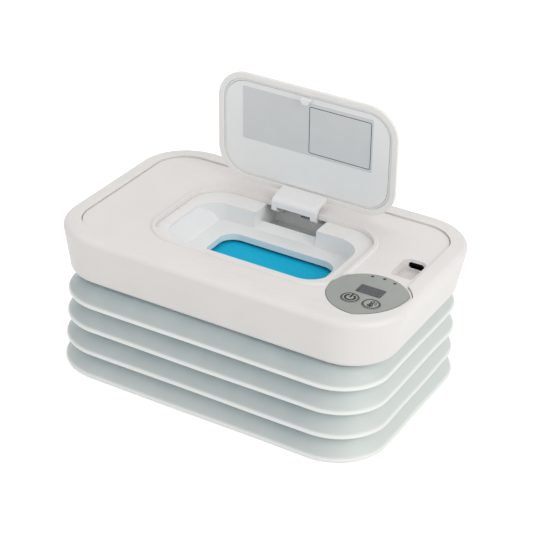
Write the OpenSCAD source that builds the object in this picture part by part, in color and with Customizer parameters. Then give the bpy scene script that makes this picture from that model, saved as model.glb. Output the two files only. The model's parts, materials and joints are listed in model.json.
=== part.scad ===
// Baby wipe warmer: a heated head with a flip lid over a dispensing well, on a collapsible
// bellows bag that holds a pack of wipes. Millimetres. The origin is the middle of the
// bag's resting face, X runs along the long side and -Y faces the user.

/* [Head] */
// Length of the head over its shoulder
head_l = 200; // [194:1:212]
// Width of the head over its shoulder
head_w = 130; // [126:1:140]
// Corner radius of the head at its shoulder
corner_r = 30.5; // [28:0.5:33]
// Height of the whole warmer with its lid shut
total_h = 83; // [78:1:95]
// Height of the head
head_h = 28; // [27:0.5:32]
// Wall of the head's outer shell
shell_wall = 2.2; // [1.8:0.1:2.6]
// How far the side wall leans in at its lower edge
side_draft = 3.6; // [2:0.1:4.2]
// Rounding of the top shoulder
shoulder_r = 3.2; // [2:0.1:4]
// Width of the shell's flat rim at the two ends
rim_end = 9.2; // [8:0.1:11]
// Width of the shell's flat rim at front and back
rim_side = 11; // [9:0.1:12]
// Corner radius of the inset top panel
panel_r = 19.6; // [17:0.1:22]
// Thickness of the top panel
panel_t = 2; // [1.6:0.1:2.4]
// How far the panel lies below the shell's rim
panel_drop = 1; // [0.6:0.1:1.4]
// Gap between the panel and the rim
panel_gap = 0.5; // [0.3:0.1:0.8]
// Thickness of the cover under the head
cover_t = 2; // [1.6:0.1:2.4]

/* [Lid] */
// Distance from the head's left end to the lid
lid_from_left = 47.5; // [46:0.5:50]
// Distance from the head's right end to the lid
lid_from_right = 43.5; // [43:0.5:46]
// Distance from the head's front to the lid
lid_from_front = 26.8; // [26:0.1:28]
// Distance from the head's back to the lid
lid_from_back = 37; // [36:0.1:38]
// Corner radius of the lid
lid_r = 18; // [14:0.5:20]
// Thickness of the lid at its rim
lid_t = 2.5; // [2.2:0.1:3]
// Thickness of the lid's outer skin over the liner
lid_skin = 1.1; // [0.9:0.1:1.3]
// Angle that the lid swings through
lid_swing = 85.3; // [75:0.1:88]
// Gap round the shut lid
lid_gap = 0.6; // [0.4:0.1:0.9]
// Extra gap behind the lid, for its swing
lid_swing_gap = 0.9; // [0.6:0.1:1.2]
// Width of the lid's outer rim
lid_rim = 3.4; // [2.6:0.1:4]
// Width of the silicone seal inside the lid's rim
seal_w = 1.4; // [1:0.1:1.8]
// Width of the raised bead round the lid's opening
bead_w = 2.6; // [2:0.1:3]
// Width of the latch that holds the lid shut
latch_l = 6.4; // [5:0.2:8]
// Depth of the latch under the lid
latch_h = 3.4; // [2.4:0.1:3.8]

/* [Hinge] */
// Distance from the lid's rear edge to the pin
pin_behind = 8.5; // [8:0.1:9.5]
// Depth of the pin below the top of the head
pin_depth = 6.2; // [6:0.1:6.8]
// Radius of the hinge pin
pin_r = 1.25; // [1:0.05:1.5]
// Radial clearance of the pin in the arm
pin_play = 0.06; // [0.03:0.01:0.1]
// Radius of the knuckle round the pin
knuckle_r = 2.8; // [2.4:0.1:2.9]
// Width of the hinge arm
arm_w = 27; // [24:1:30]
// Width of each cheek of the arm
cheek_w = 3; // [2.4:0.1:4]
// Thickness of the arm's front plate
arm_t = 2.6; // [2:0.1:3]
// Height over the pin of the front plate's lower edge
arm_plate_low = 4.9; // [4.4:0.1:5.4]
// Width of the hinge pocket
pocket_w = 37.5; // [36:0.5:42]
// Wall of the hinge pocket
pocket_wall = 1.4; // [1.2:0.1:1.5]
// How far the pocket's floor rises from the well to the pit
sill_rise = 2.2; // [1:0.1:3]
// Wire of the torsion spring
spring_wire = 0.9; // [0.7:0.1:1.1]
// Coils of the torsion spring
spring_turns = 5; // [3:1:6]

/* [Dispensing well] */
// Depth of the ledge that the lid shuts on
ledge_depth = 2.6; // [2.3:0.1:3.2]
// Width of the ledge at the ends
ledge_end = 6.5; // [5.5:0.1:8]
// Width of the ledge at the front
ledge_front = 5.3; // [4.6:0.1:6.5]
// Width of the ledge at the back, beside the hinge
ledge_back = 12; // [11:0.5:13]
// Corner radius of the well
well_r = 14; // [11:0.5:15]
// Depth of the well's floor below the top of the head
well_depth = 12.5; // [12:0.5:14]
// How far the left wall slopes in
slope_left = 9; // [5:0.5:10]
// How far the right wall slopes in
slope_right = 2.5; // [1:0.5:4]
// Wall of the well
well_wall = 1.6; // [1.2:0.1:1.8]
// Corner radius of the slot
slot_r = 9; // [6:0.5:11]
// Gap from the left wall's foot to the slot
slot_from_left = 10.6; // [8:0.1:13]
// Gap from the right wall's foot to the slot
slot_from_right = 6.2; // [3:0.1:7]
// Gap from the front wall to the slot
slot_from_front = 10.6; // [9:0.1:13]
// Gap from the back wall to the slot
slot_from_back = 10.5; // [9:0.1:12]
// Thickness of the collar round the slot
collar_t = 1.4; // [1:0.1:1.6]

/* [Heater] */
// Thickness of the insulating pad
pad_t = 1; // [0.8:0.1:1.2]
// Thickness of the heating film
film_t = 0.3; // [0.2:0.1:0.4]
// Thickness of the heating plate
plate_t = 0.8; // [0.6:0.1:1.2]
// How far the heating plate reaches past the well at each end
plate_end = 3.2; // [3:0.1:3.4]
// How far it reaches past the well at front and back
plate_side = 3.4; // [3.2:0.05:3.5]

/* [Controls] */
// Radius of the control disc
disc_r = 21; // [19:0.5:21.5]
// Distance from the head's right end to the disc's centre
disc_from_end = 23.6; // [23:0.1:25]
// Distance from the head's front to the disc's centre
disc_from_front = 33.6; // [33:0.1:34.5]
// Radius of the arc that cuts the disc back towards the head's corner
disc_cut_r = 32; // [30:0.5:34]
// Least distance of that arc from the head's right end
disc_cut_from_end = 4.6; // [4.4:0.1:5.4]
// Least distance of that arc from the head's front
disc_cut_from_front = 8.9; // [8.4:0.1:9.8]
// Width of the panel's seat under the disc's edge
disc_seat = 1.3; // [1:0.1:1.4]
// Thickness of the control disc
disc_t = 1.4; // [1.2:0.1:1.6]
// Length of the display
display_l = 14; // [12:0.1:15]
// Width of the display
display_w = 8.4; // [6.5:0.1:8.8]
// Radius of a key's face
key_r = 4.7; // [4.2:0.1:4.8]
// Distance between the two keys
key_pitch = 11.8; // [11.6:0.1:13]
// Travel of a key
key_travel = 0.6; // [0.4:0.1:0.8]
// Radius of the arc that the indicators lie on
led_arc_r = 18.7; // [17:0.1:19]
// Radius of an indicator
led_r = 0.85; // [0.6:0.05:1.1]
// Thickness of the circuit boards
board_t = 1.2; // [1:0.1:1.6]

/* [Charging socket] */
// Width of the socket's metal shell
usb_w = 8.94; // [8.94:0.01:9.2]
// Height of the socket's metal shell
usb_h = 3.26; // [3.2:0.01:3.4]
// Depth of the socket's centre below the top of the head
usb_depth = 4.7; // [4.5:0.1:5]
// Width of the finger scoop in front of the socket
scoop_w = 12.8; // [12:0.1:13.4]
// Length of the scoop
scoop_l = 22; // [20:1:24]
// Depth of the scoop below the top of the head
scoop_depth = 7.2; // [7:0.1:7.6]

/* [Bag] */
// Number of folds
folds = 4; // [3:1:5]
// How much smaller the bag's corner radius is than the head's
bag_corner_less = 3; // [2:0.5:4]
// How much further the bag's ends lie under the head than its sides
bag_end_in = 6; // [5:0.5:7]
// How far the first fold's lip stands out from the bag's corner centres
lip_first = 29; // [28:0.1:30]
// How much further each next lip stands out
lip_flare = 0.7; // [0.3:0.1:1.2]
// Depth of the notch between two folds
notch = 7.5; // [6:0.1:8]
// Radius of a fold's lip
lip_r = 1.1; // [0.8:0.1:1.3]
// Wall of the bellows
bag_wall = 1.6; // [1.2:0.1:2]
// Thickness of the bag's floor
floor_t = 2; // [1.6:0.1:2.4]
// Thickness of the bag's hard rim
bag_rim_t = 3.2; // [2.6:0.1:3.6]
// Height of the bag's hard rim
bag_rim_h = 3.8; // [3.4:0.1:4.4]
// Gap between the bag's rim and the head's side walls
rim_gap = 0.5; // [0.3:0.1:0.8]
// Room left round the pack of wipes at the ends
pack_end_room = 0.5; // [0.5:0.5:6]
// Room left round the pack of wipes at front and back
pack_side_room = 4; // [2:0.5:10]
// Corner radius of the pack of wipes
pack_r = 16; // [12:1:20]

/* [Fasteners] */
// Radius of a case screw's shank
screw_r = 1.3; // [1.1:0.1:1.5]
// Radius of a case screw's head
screw_head_r = 2.6; // [2.2:0.1:2.8]
// Radius of a moulded screw boss
boss_r = 3.2; // [2.9:0.1:3.4]
// Radius of a board screw's shank
board_screw_r = 0.8; // [0.7:0.1:0.9]
// Length of a board screw's shank
board_screw_l = 3.6; // [3:0.2:4]
// Radius of a lead over its insulation
lead_r = 0.55; // [0.45:0.05:0.6]

/* [Hidden] */
$fn = 64;
eps = 0.01;
fit = 0.2;

// Corner centres of the head, and the main heights
cx = head_l / 2 - corner_r;
cy = head_w / 2 - corner_r;
z_top = total_h;
z_edge = z_top - head_h;
z_panel = z_top - panel_drop;
z_under = z_panel - panel_t;
z_ledge = z_top - ledge_depth;
z_floor = z_top - well_depth;
z_slot = z_floor - well_wall - pad_t - film_t - plate_t;
z_cover = z_edge + 2.4;

// The inset panel, and the shelf in the shell that carries it
panel_l = head_l - 2 * rim_end;
panel_w = head_w - 2 * rim_side;
support_w = 3;
support_t = 2;
support_root = 1.6;

// The lid as it lies shut, and its opening in the panel
lid_l = head_l - lid_from_left - lid_from_right;
lid_w = head_w - lid_from_front - lid_from_back;
lid_x = (lid_from_left - lid_from_right) / 2;
lid_y = (lid_from_back - lid_from_front) / 2;
lid_back = lid_w / 2 - lid_y;
lid_rest = 0.1;
z_lid = z_ledge + lid_rest;
liner_lift = 0.35;
seal_lift = 0.6;
open_l = lid_l + 2 * lid_gap;
open_w = lid_w + 2 * lid_gap + lid_swing_gap;
open_y = -lid_y + lid_swing_gap / 2;
open_r = lid_r + lid_gap;
open_back = open_y + open_w / 2;

// The well's edge at the ledge, and the slot in its floor
well_x0 = lid_x - open_l / 2 + ledge_end + lid_gap;
well_x1 = lid_x + open_l / 2 - ledge_end;
well_y0 = open_y - open_w / 2 + ledge_front;
well_y1 = open_back - ledge_back - lid_swing_gap;
well_x = (well_x0 + well_x1) / 2;
well_y = (well_y0 + well_y1) / 2;
slot_x0 = well_x0 + slope_left + slot_from_left;
slot_x1 = well_x1 - slope_right - slot_from_right;
slot_y0 = well_y0 + slot_from_front;
slot_y1 = well_y1 - slot_from_back;
flange = 3.2;
land_t = 1.8;

// The hinge: the pin's place, the arm's outline about the pin with the lid open, and the
// pocket and pit that the arm swings in
pin_y = lid_back + pin_behind;
pin_z = z_top - pin_depth;
pin_seat = 0.02;
arm_x = lid_x + 0.5;
arm_front = -(pin_y - open_back) - 3.5;
arm_bend = 3.4;
arm_top = pin_depth + 4.5;
arm_chin = 3;
arm_back = arm_front + 3;
arm_reach = norm([arm_front + arm_bend, arm_top - arm_bend]) + arm_bend;
swing_room = 0.35;
arm_inner = norm([pin_y - open_back, z_top - pin_z]) + swing_room;
pocket_x = lid_x + 1.2;
pocket_out = pocket_w + 2 * pocket_wall;
z_sill = z_floor + sill_rise;
sill_end = pin_y - sqrt(pow(arm_reach + swing_room, 2) - pow(pin_z - z_sill, 2));
z_pit = pin_z + arm_front - 0.9;
pit_back = knuckle_r + 1.2;
pit_y1 = pin_y + pit_back;

// The latch under the lid's front edge, and the catch for it in the well's wall
latch_w = 3;
latch_gap = 0.3;
catch_drop = 2.6;
catch_t = 1.4;

// The heater's frame under the well
plate_l = well_x1 - well_x0 + 2 * plate_end;
plate_w = well_y1 - well_y0 + 2 * plate_side;
plate_r = 10;
z_film = z_slot + plate_t;
z_pad = z_film + film_t;
upstand = 1.6;
upstand_seat = 1.2;
z_shelf = z_floor + 0.6;
sensor_x = well_x0 + slope_left - well_wall - 4.4;
lead_y = -8;

// The controls
disc_x = head_l / 2 - disc_from_end;
disc_y = -head_w / 2 + disc_from_front;
cut_x = head_l / 2 - disc_cut_from_end - disc_cut_r;
cut_y = -head_w / 2 + disc_cut_from_front + disc_cut_r;
z_disc = z_panel + 0.3 - disc_t;
disc_pocket = 0.25;
disc_collar = 1.8;
display_y = 3.8;
display_frame = 0.3;
key_y = -7.9;
key_flange = 0.7;
key_gap = 0.2;
stem_r = 1.3;
z_board = z_top - 8.6;
switch_w = 6;
switch_h = 3.4;
led_angles = [68.5, 88.5, 108.5];
board_posts = [[-16.6, 0], [14, 0], [0, -17.4]];
board_post_r = 1.9;
post_pad_r = 3.4;
boss_room = 0.5;

// The charging socket, its scoop and its board
scoop_wall = 1.5;
scoop_x = head_l / 2 - rim_end - panel_gap - scoop_wall - scoop_w / 2;
scoop_back = 15;
scoop_flat = 9.5;
scoop_r = 4;
z_usb = z_top - usb_depth;
usb_l = 7.3;
usb_board_y = scoop_back + 1.8;
usb_board_l = 10.5;
z_usb_board = z_usb - usb_h / 2 - board_t;
usb_posts = [[-5.6, 9.4], [5.6, 9.4]];
usb_post_r = 1.6;

// The bag: its corner centres, its rim, its folds and the pack in it
bag_x = cx + bag_corner_less - bag_end_in;
bag_y = cy + bag_corner_less;
pitch = (z_edge + 1) / folds;
rim_out = corner_r - side_draft - shell_wall - rim_gap - bag_corner_less;
rim_in = rim_out - bag_rim_t;
z_rim = z_cover - fit - bag_rim_h;
floor_out = lip_first + lip_flare * (folds - 1) - lip_r - 2;
pack_l = 2 * (bag_x + rim_in - pack_end_room);
pack_w = 2 * (bag_y + rim_in - pack_side_room);
pack_gap = 1.2;
pack_window_gap = 2;

// Screws: four at the corners and four along the sides, in the width of the rim
boss_out = 21.2;
boss_side = 30;
screw_l = 11;
screw_sink = 0.2;
screw_head_t = 1;
board_screw_head_r = 1.4;
board_screw_head_t = 0.8;

// ---- Shared forms -------------------------------------------------------------

// A rectangle with round corners, about the origin
module round_rect(l, w, r) {
    square([l - 2 * r, w], center = true);
    square([l, w - 2 * r], center = true);
    for (x = [-1, 1], y = [-1, 1]) translate([x * (l / 2 - r), y * (w / 2 - r)]) circle(r);
}

// Carries a profile round a rounded rectangle. The profile's X runs outwards from the
// centres of the corner arcs, which lie at +-x and +-y, and its Y is height
module sweep_round(x, y) {
    for (i = [0, 1], j = [0, 1]) mirror([i, 0, 0]) mirror([0, j, 0])
        translate([x, y, 0]) rotate_extrude(angle = 90) children();
    for (j = [0, 1]) mirror([0, j, 0])
        translate([-x, y, 0]) rotate([90, 0, 90]) linear_extrude(2 * x) children();
    for (i = [0, 1]) mirror([i, 0, 0])
        translate([x, y, 0]) rotate([90, 0, 0]) linear_extrude(2 * y) children();
}

// Points of an arc, from angle a0 to a1
function arc(c, r, a0, a1, n) =
    [for (i = [0:n]) let (a = a0 + (a1 - a0) * i / n) c + r * [cos(a), sin(a)]];

// A tube of round section along a list of points, as one closed surface. Its section is
// carried square to the route, with one side kept level
function along(p, i) = let (a = p[max(i - 1, 0)], b = p[min(i + 1, len(p) - 1)]) (b - a) / norm(b - a);
function level(t, up) = let (s = cross(t, up)) s / norm(s);
function tube_ring(p, i, r, n, up) =
    let (t = along(p, i), u = level(t, up), v = cross(t, u))
    [for (k = [0:n - 1]) p[i] + r * (cos(360 * k / n) * u + sin(360 * k / n) * v)];
module tube(p, r, n, up) {
    last = len(p) - 1;
    points = [for (i = [0:last]) each tube_ring(p, i, r, n, up)];
    walls = [for (i = [0:last - 1], k = [0:n - 1]) let (a = i * n + k, b = i * n + (k + 1) % n)
        each [[a, b, b + n], [a, b + n, a + n]]];
    start = [for (k = [1:n - 2]) [0, k + 1, k]];
    end = [for (k = [1:n - 2]) [last * n, last * n + k, last * n + k + 1]];
    polyhedron(points, concat(walls, start, end));
}

// A point on a smooth curve through a list of points, and the whole curve with m steps
// between each two of them
function smooth_at(a, b, c, d, t) = 0.5 * ((2 * b) + (c - a) * t
    + (2 * a - 5 * b + 4 * c - d) * t * t + (3 * b - a - 3 * c + d) * t * t * t);
function smooth(p, m) = let (n = len(p) - 1) concat(
    [for (i = [0:n - 1], j = [0:m - 1])
        smooth_at(p[max(i - 1, 0)], p[i], p[i + 1], p[min(i + 2, n)], j / m)],
    [p[n]]);

// Places for the case screws, about the middle of the head
module at_case_screws() {
    d = boss_out / sqrt(2);
    for (i = [0, 1], j = [0, 1]) mirror([i, 0, 0]) mirror([0, j, 0]) {
        translate([cx + d, cy + d, 0]) children();
        translate([boss_side, cy + boss_out, 0]) children();
    }
}

// ---- Bag ----------------------------------------------------------------------

module bag_floor() {
    color("#c9d6d8") linear_extrude(floor_t)
        round_rect(2 * (bag_x + floor_out), 2 * (bag_y + floor_out), floor_out);
}

// The bellows' outline from its top end down: every fold slopes out to a rounded lip and
// is tucked in under it
function lip_x(k) = lip_first + lip_flare * k;
function lip_z(k) = pitch * (folds - 1 - k) + lip_r + 0.3;
function valley(k) = [lip_x(k) - notch, min(lip_z(k) + pitch - lip_r - 2.4, z_rim - 0.7)];
function belly(k) = [lip_x(k) - notch * 0.42, lip_z(k) + pitch * 0.38];
function fold_outside(k) = concat([valley(k), belly(k)],
    arc([lip_x(k) - lip_r, lip_z(k)], lip_r, 30, -90, 3));
function fold_inside(k) = [[lip_x(k) - bag_wall - lip_r - 0.5, max(lip_z(k) + 0.9, floor_t + 0.3)],
    belly(k) - [bag_wall, 0], valley(k) - [bag_wall, 0.6]];

module bellows() {
    outside = [for (k = [0:folds - 1]) each fold_outside(k)];
    inside = [for (k = [folds - 1:-1:0]) each fold_inside(k)];
    z_low = lip_z(folds - 1) - lip_r;
    profile = concat([[rim_in + bag_wall, z_rim]], outside,
        [[floor_out, z_low], [floor_out, floor_t]], inside, [[rim_in, z_rim]]);
    color("#b9cdd1") sweep_round(bag_x, bag_y) polygon(profile);
}

// The pack fills the bag and bulges up into the head's window, to just under the slot
module wipe_pack() {
    color("#2aabcd") {
        translate([0, 0, floor_t]) linear_extrude(z_rim - floor_t)
            round_rect(pack_l, pack_w, pack_r);
        translate([well_x, well_y, z_rim - eps])
            linear_extrude(z_slot - pack_gap - z_rim + eps)
            round_rect(plate_l - 2 * pack_window_gap, plate_w - 2 * pack_window_gap,
                plate_r - pack_window_gap);
    }
}

module bag_rim() {
    groove = 0.8;
    color("#dfe5e6") sweep_round(bag_x, bag_y) polygon([
        [rim_in, z_rim], [rim_out - groove, z_rim], [rim_out - groove, z_rim + 1.2],
        [rim_out, z_rim + 1.8], [rim_out, z_rim + bag_rim_h - 0.6],
        [rim_out - 0.6, z_rim + bag_rim_h], [rim_in, z_rim + bag_rim_h]]);
}

// ---- Head ---------------------------------------------------------------------

// The disc's outline: a circle that a wider arc cuts back towards the head's corner
module disc_outline(grow) {
    intersection() {
        translate([disc_x, disc_y]) circle(disc_r + grow, $fn = 96);
        translate([cut_x, cut_y]) circle(disc_cut_r + grow, $fn = 96);
    }
}

// The inset panel's outline, which swells round the disc
module panel_outline(grow) {
    round_rect(panel_l + 2 * grow, panel_w + 2 * grow, panel_r + grow);
    disc_outline(disc_collar + grow);
}

module shell_profile() {
    edge_r = 2.4;
    low = corner_r - side_draft;
    inner_top = corner_r - shell_wall;
    z_deck = z_top - 3;
    polygon(concat(
        [[panel_r - 6, z_top], [corner_r - shoulder_r - 4, z_top]],
        arc([corner_r - shoulder_r, z_top - shoulder_r - 0.3], shoulder_r, 80, 0, 6),
        arc([low - edge_r, z_edge + edge_r], edge_r, 0, -60, 4),
        [[low - shell_wall, z_edge], [low - shell_wall, z_edge + edge_r],
         [inner_top - 1.2, z_deck - 1], [inner_top - 2.6, z_deck], [panel_r - 6, z_deck]]));
}

// The room that the panel's shelf leaves for the scoop and the socket's board
module socket_room() {
    room_w = scoop_w + 2 * (scoop_wall + fit);
    front = scoop_back - scoop_l - 2 * scoop_wall - 1;
    translate([scoop_x - room_w / 2, front]) square([room_w, usb_board_y + usb_board_l + 1 - front]);
}

module outer_shell() {
    z_support = z_under - support_t;
    color("#ebe8e4") difference() {
        union() {
            sweep_round(cx, cy) shell_profile();
            translate([0, 0, z_support]) linear_extrude(z_top - 3 - z_support + eps)
                difference() {
                    panel_outline(support_root);
                    panel_outline(-support_w);
                    socket_room();
                }
            at_case_screws() translate([0, 0, z_cover + cover_t])
                cylinder(h = z_support - z_cover - cover_t + eps, r = boss_r);
        }
        translate([0, 0, z_under]) linear_extrude(z_top - z_under + 1) panel_outline(0);
        at_case_screws() translate([0, 0, z_cover + cover_t - 1])
            cylinder(h = screw_l + 2, r = screw_r + 0.05);
    }
}

// The opening for the lid, about the panel's middle
module lid_opening(grow) {
    translate([lid_x, open_y]) round_rect(open_l + 2 * grow, open_w + 2 * grow, open_r + grow);
}

// The scoop's floor falls in an S curve from the panel to the flat in front of the socket
function scoop_floor(grow) = [for (i = [0:8]) let (t = i / 8)
    [scoop_back - scoop_l - 2 * grow + (scoop_l - scoop_flat + 2 * grow) * t,
     z_panel + eps - (scoop_depth - panel_drop) * t * t * (3 - 2 * t) - grow * min(1, 4 * t)]];

module scoop(grow) {
    floor_line = scoop_floor(grow);
    z_deep = z_top - scoop_depth - grow;
    intersection() {
        translate([scoop_x - scoop_w / 2 - grow, 0, 0]) rotate([90, 0, 90])
            linear_extrude(scoop_w + 2 * grow) polygon(concat(
                [[floor_line[0][0], z_top + 1]], floor_line,
                [[scoop_back + grow, floor_line[8][1]], [scoop_back + grow, z_top + 1]]));
        translate([scoop_x, scoop_back - scoop_l / 2, z_deep - 1])
            linear_extrude(z_top - z_deep + 3)
            round_rect(scoop_w + 2 * grow, scoop_l + 2 * grow, scoop_r + grow);
    }
}

// A post under the panel, down to a board
module post(x, y, z, r) {
    translate([x, y, z]) cylinder(h = z_under - z + eps, r = r);
}

// The hole for a board screw in such a post
module post_hole(x, y, z) {
    translate([x, y, z - 1]) cylinder(h = board_screw_l + 1.5, r = board_screw_r + 0.05);
}

module top_panel() {
    bead_sink = 0.05;
    color("#e9e6e2") difference() {
        union() {
            translate([0, 0, z_under]) linear_extrude(panel_t) panel_outline(-panel_gap);
            translate([lid_x, open_y, 0])
                sweep_round(open_l / 2 - open_r, open_w / 2 - open_r)
                polygon(concat([[open_r - 1, z_panel - 0.5], [open_r - 1, z_top - bead_sink]],
                    arc([open_r + bead_w / 2, z_top - bead_w / 2 - bead_sink], bead_w / 2, 90, 20, 5),
                    [[open_r + bead_w, z_panel - 0.5]]));
            intersection() {
                scoop(scoop_wall);
                translate([0, 0, z_panel - 20]) linear_extrude(20) panel_outline(-panel_gap);
            }
            for (p = board_posts) post(disc_x + p[0], disc_y + p[1], z_board, board_post_r);
            for (p = usb_posts)
                post(scoop_x + p[0], scoop_back + p[1], z_usb_board + board_t, usb_post_r);
        }
        translate([0, 0, z_under - 1]) linear_extrude(panel_t + 4) lid_opening(0);
        translate([0, 0, z_disc]) linear_extrude(disc_t + 2) disc_outline(disc_pocket);
        translate([0, 0, z_under - 1]) linear_extrude(panel_t + 4) difference() {
            disc_outline(-disc_seat);
            for (p = board_posts) translate([disc_x + p[0], disc_y + p[1]]) circle(post_pad_r);
        }
        scoop(0);
        translate([scoop_x, scoop_back - 1, z_usb]) rotate([-90, 0, 0])
            linear_extrude(4) round_rect(usb_w + 0.3, usb_h + 0.3, usb_h / 2);
        for (p = board_posts) post_hole(disc_x + p[0], disc_y + p[1], z_board);
        for (p = usb_posts) post_hole(scoop_x + p[0], scoop_back + p[1], z_usb_board + board_t);
    }
}

// ---- Dispensing well ----------------------------------------------------------

// The well: a rounded prism with its end walls sloping in to the floor
module well_form(grow, z0) {
    l = well_x1 - well_x0;
    w = well_y1 - well_y0;
    intersection() {
        translate([well_x, well_y, z0]) linear_extrude(z_top - z0 + 2)
            round_rect(l + 2 * grow, w + 2 * grow, well_r + grow);
        translate([0, well_y1 + grow + 1, 0]) rotate([90, 0, 0])
            linear_extrude(w + 2 * grow + 2) polygon([
                [well_x0 - grow, z_top + 2], [well_x0 - grow, z_ledge - 1.2],
                [well_x0 + slope_left - grow, z0], [well_x1 - slope_right + grow, z0],
                [well_x1 + grow, z_ledge - 1.2], [well_x1 + grow, z_top + 2]]);
    }
}

// A prism across the hinge pocket, given by its width and its outline in Y and Z
module pocket_prism(w, outline) {
    translate([pocket_x - w / 2, 0, 0]) rotate([90, 0, 90]) linear_extrude(w) polygon(outline);
}

// A box about the hinge pocket's middle, given by its width, its front and back in Y and
// its bottom and top
module pocket_box(w, y0, y1, z0, z1) {
    pocket_prism(w, [[y0, z0], [y1, z0], [y1, z1], [y0, z1]]);
}

// The plate's outline, grown for the frame round it
module plate_plan(grow) {
    translate([well_x, well_y]) round_rect(plate_l + 2 * grow, plate_w + 2 * grow, plate_r + grow);
}

// The slot's outline, grown for the collar round it
module slot_plan(grow) {
    translate([(slot_x0 + slot_x1) / 2, (slot_y0 + slot_y1) / 2])
        round_rect(slot_x1 - slot_x0 + 2 * grow, slot_y1 - slot_y0 + 2 * grow, slot_r + grow);
}

module well_frame() {
    z_land = z_under - land_t;
    z_base = z_floor - well_wall;
    color("#dfe4ea") difference() {
        union() {
            translate([0, 0, z_land]) linear_extrude(land_t) lid_opening(flange);
            translate([0, 0, z_land]) linear_extrude(z_ledge - z_land) lid_opening(-0.15);
            intersection() {
                well_form(well_wall, z_base);
                translate([0, 0, z_under / 2]) cube([head_l, head_w, z_under], center = true);
            }
            translate([0, 0, z_shelf]) linear_extrude(well_wall) plate_plan(upstand);
            translate([0, 0, z_slot]) linear_extrude(z_floor - z_slot) slot_plan(collar_t);
            pocket_box(pocket_out, well_y1, sill_end, z_base, z_under);
            pocket_box(pocket_out, sill_end - pocket_wall, pit_y1 + pocket_wall,
                z_pit - pocket_wall, z_under);
        }
        well_form(0, z_floor);
        translate([0, 0, z_slot - 1]) linear_extrude(z_floor - z_slot + 2) slot_plan(0);
        pocket_prism(pocket_w, [[well_y1 - 3, z_floor], [well_y1, z_floor],
            [sill_end + eps, z_sill], [sill_end + eps, z_top], [well_y1 - 3, z_top]]);
        pocket_box(pocket_w, sill_end, pit_y1, z_pit, z_top);
        translate([arm_x, well_y0, z_ledge - catch_drop])
            cube([latch_l + 1, catch_t, catch_t], center = true);
        translate([pocket_x, pin_y, pin_z]) rotate([0, 90, 0])
            cylinder(h = pocket_out + 2, r = pin_r + pin_seat, center = true);
    }
}

// The cover under the head: a plate with an upstand round its window, which carries the
// heating plate under the well
module bottom_cover() {
    out = corner_r - side_draft - shell_wall - fit;
    color("#e3e4e6") difference() {
        union() {
            translate([0, 0, z_cover]) linear_extrude(cover_t)
                round_rect(2 * (cx + out), 2 * (cy + out), out);
            translate([0, 0, z_cover]) linear_extrude(z_shelf - z_cover) plate_plan(upstand);
        }
        translate([0, 0, z_cover - 1]) linear_extrude(z_shelf - z_cover + 2)
            plate_plan(-upstand_seat);
        translate([0, 0, z_slot]) linear_extrude(z_shelf - z_slot + 1) plate_plan(0);
        pocket_box(pocket_out + 2 * fit, well_y1, sill_end, z_floor - well_wall - fit, z_top);
        translate([well_x + plate_l / 2 - 3, lead_y - 2.4, z_pad]) cube([6, 4.8, 2.4]);
        at_case_screws() translate([0, 0, z_cover - 1])
            cylinder(h = cover_t + 2, r = screw_r + fit);
        at_case_screws() translate([0, 0, z_cover - 1])
            cylinder(h = 1 + screw_sink + screw_head_t, r = screw_head_r + fit);
    }
}

// ---- Heater -------------------------------------------------------------------

module heater_layer(z, t, gap) {
    translate([0, 0, z]) linear_extrude(t) difference() {
        plate_plan(-gap);
        slot_plan(collar_t + fit / 2);
    }
}

module heating_plate() {
    color("#b8bcc0") heater_layer(z_slot, plate_t, fit);
}

module heating_film() {
    color("#c7762e") heater_layer(z_film, film_t, 2.5);
}

module insulating_pad() {
    color("#5f6468") difference() {
        heater_layer(z_pad, pad_t, 3);
        translate([sensor_x - 4, well_y - 14, z_pad - 1]) cube([7.4, 28, pad_t + 2]);
        translate([well_x + plate_l / 2 - 9, lead_y - 3, z_pad - 1]) cube([8, 6, pad_t + 2]);
    }
}

module temperature_sensor() {
    r = 1.1;
    color("#3b3f42") translate([sensor_x, well_y - 8, z_pad + r]) {
        rotate([90, 0, 0]) cylinder(h = 4, r = r, center = true);
        translate([0, -2, 0]) sphere(r);
        translate([-1, -2, -r]) cube([2, 5, r]);
    }
}

module thermal_fuse() {
    r = 1.3;
    color("#e8e2cf") translate([sensor_x, well_y + 6, z_pad + r]) {
        rotate([90, 0, 0]) cylinder(h = 8, r = r, center = true);
        rotate([90, 0, 0]) cylinder(h = 13, r = 0.35, center = true);
    }
}

// ---- Controls -----------------------------------------------------------------

module control_board() {
    color("#2f6b45") difference() {
        translate([0, 0, z_board - board_t]) linear_extrude(board_t) disc_outline(-1.2);
        at_case_screws() translate([0, 0, z_board - board_t - 1])
            cylinder(h = board_t + 2, r = boss_r + boss_room);
        for (p = board_posts) translate([disc_x + p[0], disc_y + p[1], z_board - board_t - 1])
            cylinder(h = board_t + 2, r = board_screw_r + 0.1);
    }
}

module display_module() {
    l = display_l - 2 * display_frame;
    w = display_w - 2 * display_frame;
    color("#e8e8e8") translate([disc_x - l / 2, disc_y + display_y - w / 2, z_board])
        cube([l, w, z_disc - z_board]);
}

module display_window() {
    color("#45454d") translate([disc_x, disc_y + display_y, z_disc])
        linear_extrude(disc_t - 0.1) round_rect(display_l, display_w, 0.8);
}

module control_disc() {
    color("#a2a5a0") difference() {
        translate([0, 0, z_disc]) linear_extrude(disc_t) disc_outline(0);
        translate([disc_x, disc_y + display_y, z_disc - 1]) linear_extrude(disc_t + 2)
            round_rect(display_l + 0.1, display_w + 0.1, 0.85);
        for (s = [-1, 1]) translate([disc_x + s * key_pitch / 2, disc_y + key_y, z_disc - 1])
            cylinder(h = disc_t + 2, r = key_r + key_gap);
        at_leds() translate([0, 0, z_disc - 1]) cylinder(h = disc_t + 2, r = led_r + 0.05);
    }
}

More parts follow.
